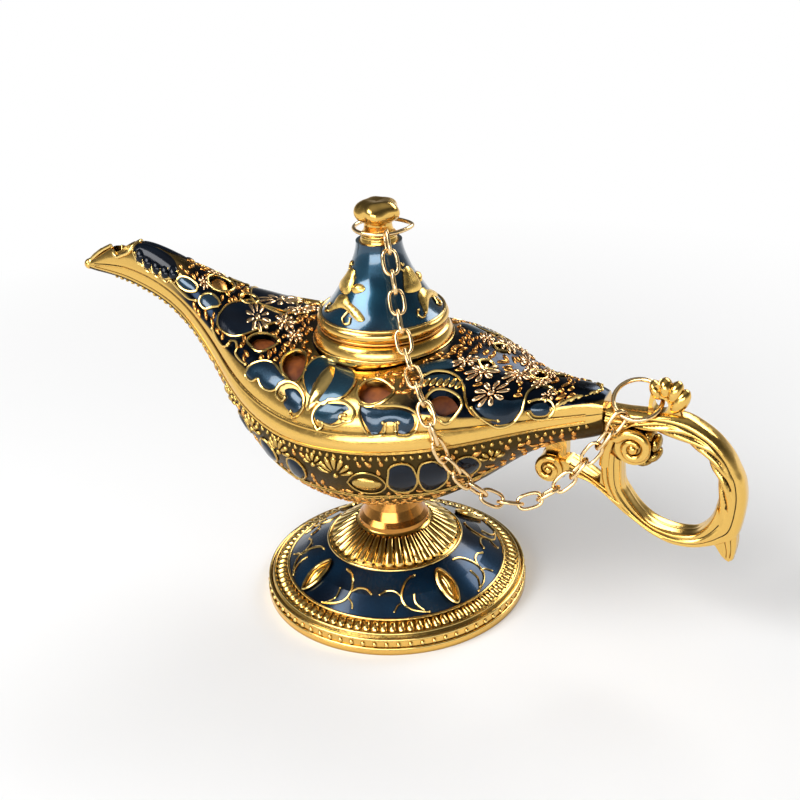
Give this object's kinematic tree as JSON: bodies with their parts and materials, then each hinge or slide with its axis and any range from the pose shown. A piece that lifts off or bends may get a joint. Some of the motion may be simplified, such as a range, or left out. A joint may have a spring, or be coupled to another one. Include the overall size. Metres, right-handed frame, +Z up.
{
  "type": "genie oil lamp",
  "caption": "Footed oil lamp with a pierced, enamelled boat-shaped body, long spout, scrolled ring handle and a lift-off lid on a fine chain.",
  "frame": {"origin": "on the floor under the centre of the foot's bottom edge", "axes": "+Z up, +X from the neck towards the handle (the spout points to -X), the chain hangs on the -Y side"},
  "size_m": [0.1954, 0.076, 0.1158],
  "materials": {
    "gilt_brass": "polished gold tone",
    "dark_brass": "darkened antique relief",
    "copper_brass": "polished copper tone",
    "rose_brass": "bright rose tone wire",
    "blue_enamel": "glossy translucent blue enamel",
    "steel": "satin"
  },
  "bodies": {
    "lamp": {"upper_shell": "gilt_brass", "bowl_shell": "dark_brass", "mouth_ring": "gilt_brass", "neck_collar": "copper_brass", "foot_casting": "gilt_brass", "foot_enamel": "blue_enamel", "foot_bolt": "steel", "foot_washer": "steel", "foot_nut": "steel", "handle_casting": "gilt_brass", "tail_screw": "steel", "strut_screw": "steel", "jump_ring": "rose_brass"},
    "ring": {"finial_ring": "rose_brass", "chain_link_17": "rose_brass", "chain_link_18": "rose_brass", "chain_link_19": "rose_brass", "chain_link_20": "rose_brass", "chain_link_21": "rose_brass", "chain_link_22": "rose_brass", "chain_link_23": "rose_brass", "chain_link_24": "rose_brass"},
    "lid": {"lid_casting": "gilt_brass", "lid_enamel": "blue_enamel", "finial": "gilt_brass"},
    "chain_link_01": {"chain_link_01": "rose_brass"},
    "chain_link_02": {"chain_link_02": "rose_brass"},
    "chain_link_03": {"chain_link_03": "rose_brass"},
    "chain_link_04": {"chain_link_04": "rose_brass"},
    "chain_link_05": {"chain_link_05": "rose_brass"},
    "chain_link_06": {"chain_link_06": "rose_brass"},
    "chain_link_07": {"chain_link_07": "rose_brass"},
    "chain_link_08": {"chain_link_08": "rose_brass"},
    "chain_link_09": {"chain_link_09": "rose_brass"},
    "chain_link_10": {"chain_link_10": "rose_brass"},
    "chain_link_11": {"chain_link_11": "rose_brass"},
    "chain_link_12": {"chain_link_12": "rose_brass"},
    "chain_link_13": {"chain_link_13": "rose_brass"},
    "chain_link_14": {"chain_link_14": "rose_brass"},
    "chain_link_15": {"chain_link_15": "rose_brass"},
    "chain_link_16": {"chain_link_16": "rose_brass"}
  },
  "joints": [
    {"name": "lid_lift", "type": "slide", "parent": "lamp", "child": "ring", "axis": [0, 0, 1], "range_m": [0, 0.02]},
    {"name": "lid_turn", "type": "hinge", "parent": "ring", "child": "lid", "pos_m": [0, 0, 0.0757], "axis": [0, 0, 1], "continuous": true},
    {"name": "chain_link_01_swing", "type": "hinge", "parent": "lamp", "child": "chain_link_01", "pos_m": [0.06657, -0.00612, 0.0656], "axis": [0.2622, 0.6271, 0.7335], "range_deg": [0, 3.42]},
    {"name": "chain_link_02_swing", "type": "hinge", "parent": "lamp", "child": "chain_link_02", "pos_m": [0.0649, -0.00643, 0.06333], "axis": [-0.4568, 0.8895, -0.0073], "range_deg": [0, 37.07]},
    {"name": "chain_link_03_swing", "type": "hinge", "parent": "lamp", "child": "chain_link_03", "pos_m": [0.06538, -0.00614, 0.06376], "axis": [-0.4574, 0.8892, -0.0078], "range_deg": [0, 32.79]},
    {"name": "chain_link_04_swing", "type": "hinge", "parent": "lamp", "child": "chain_link_04", "pos_m": [0.06606, -0.00571, 0.06439], "axis": [-0.4582, 0.8888, -0.0085], "range_deg": [0, 30.08]},
    {"name": "chain_link_05_swing", "type": "hinge", "parent": "lamp", "child": "chain_link_05", "pos_m": [0.06698, -0.0052, 0.06521], "axis": [-0.4588, 0.8885, -0.009], "range_deg": [0, 27.95]},
    {"name": "chain_link_06_swing", "type": "hinge", "parent": "lamp", "child": "chain_link_06", "pos_m": [0.06825, -0.00457, 0.06625], "axis": [-0.4592, 0.8883, -0.0094], "range_deg": [0, 26.04]},
    {"name": "chain_link_07_swing", "type": "hinge", "parent": "lamp", "child": "chain_link_07", "pos_m": [0.07005, -0.00376, 0.06755], "axis": [-0.4593, 0.8882, -0.0095], "range_deg": [0, 24.19]},
    {"name": "chain_link_08_swing", "type": "hinge", "parent": "lamp", "child": "chain_link_08", "pos_m": [0.07257, -0.00259, 0.06911], "axis": [-0.459, 0.8884, -0.0093], "range_deg": [0, 22.3]},
    {"name": "chain_link_09_swing", "type": "hinge", "parent": "lamp", "child": "chain_link_09", "pos_m": [0.07619, -0.0009, 0.07091], "axis": [-0.4585, 0.8887, -0.009], "range_deg": [0, 20.29]},
    {"name": "chain_link_10_swing", "type": "hinge", "parent": "lamp", "child": "chain_link_10", "pos_m": [0.08144, 0.00135, 0.07288], "axis": [-0.4572, 0.8893, -0.0085], "range_deg": [0, 18.15]},
    {"name": "chain_link_11_swing", "type": "hinge", "parent": "lamp", "child": "chain_link_11", "pos_m": [0.0891, 0.00435, 0.07498], "axis": [-0.4536, 0.8912, -0.0075], "range_deg": [0, 15.87]},
    {"name": "chain_link_12_swing", "type": "hinge", "parent": "lamp", "child": "chain_link_12", "pos_m": [0.10044, 0.00865, 0.07717], "axis": [-0.4455, 0.8953, -0.0058], "range_deg": [0, 13.48]},
    {"name": "chain_link_13_swing", "type": "hinge", "parent": "lamp", "child": "chain_link_13", "pos_m": [0.11809, 0.0152, 0.07942], "axis": [-0.4303, 0.9027, -0.0038], "range_deg": [0, 10.98]},
    {"name": "chain_link_14_swing", "type": "hinge", "parent": "lamp", "child": "chain_link_14", "pos_m": [0.14816, 0.02584, 0.08166], "axis": [-0.405, 0.9143, -0.0018], "range_deg": [0, 8.39]},
    {"name": "chain_link_15_swing", "type": "hinge", "parent": "lamp", "child": "chain_link_15", "pos_m": [0.20869, 0.04536, 0.08376], "axis": [-0.3673, 0.9301, -0.0005], "range_deg": [0, 5.71]},
    {"name": "chain_link_16_swing", "type": "hinge", "parent": "lamp", "child": "chain_link_16", "pos_m": [0.39043, 0.09733, 0.08558], "axis": [-0.3165, 0.9486, 0], "range_deg": [0, 2.94]}
  ],
  "couplings": [
    {"joint": "chain_link_01_swing", "follows": "lid_lift", "rad_per_m": 2.9849},
    {"joint": "chain_link_02_swing", "follows": "lid_lift", "rad_per_m": 32.353},
    {"joint": "chain_link_03_swing", "follows": "lid_lift", "rad_per_m": 28.612},
    {"joint": "chain_link_04_swing", "follows": "lid_lift", "rad_per_m": 26.25},
    {"joint": "chain_link_05_swing", "follows": "lid_lift", "rad_per_m": 24.394},
    {"joint": "chain_link_06_swing", "follows": "lid_lift", "rad_per_m": 22.727},
    {"joint": "chain_link_07_swing", "follows": "lid_lift", "rad_per_m": 21.111},
    {"joint": "chain_link_08_swing", "follows": "lid_lift", "rad_per_m": 19.461},
    {"joint": "chain_link_09_swing", "follows": "lid_lift", "rad_per_m": 17.709},
    {"joint": "chain_link_10_swing", "follows": "lid_lift", "rad_per_m": 15.837},
    {"joint": "chain_link_11_swing", "follows": "lid_lift", "rad_per_m": 13.852},
    {"joint": "chain_link_12_swing", "follows": "lid_lift", "rad_per_m": 11.765},
    {"joint": "chain_link_13_swing", "follows": "lid_lift", "rad_per_m": 9.5832},
    {"joint": "chain_link_14_swing", "follows": "lid_lift", "rad_per_m": 7.3177},
    {"joint": "chain_link_15_swing", "follows": "lid_lift", "rad_per_m": 4.9838},
    {"joint": "chain_link_16_swing", "follows": "lid_lift", "rad_per_m": 2.5639}
  ]
}
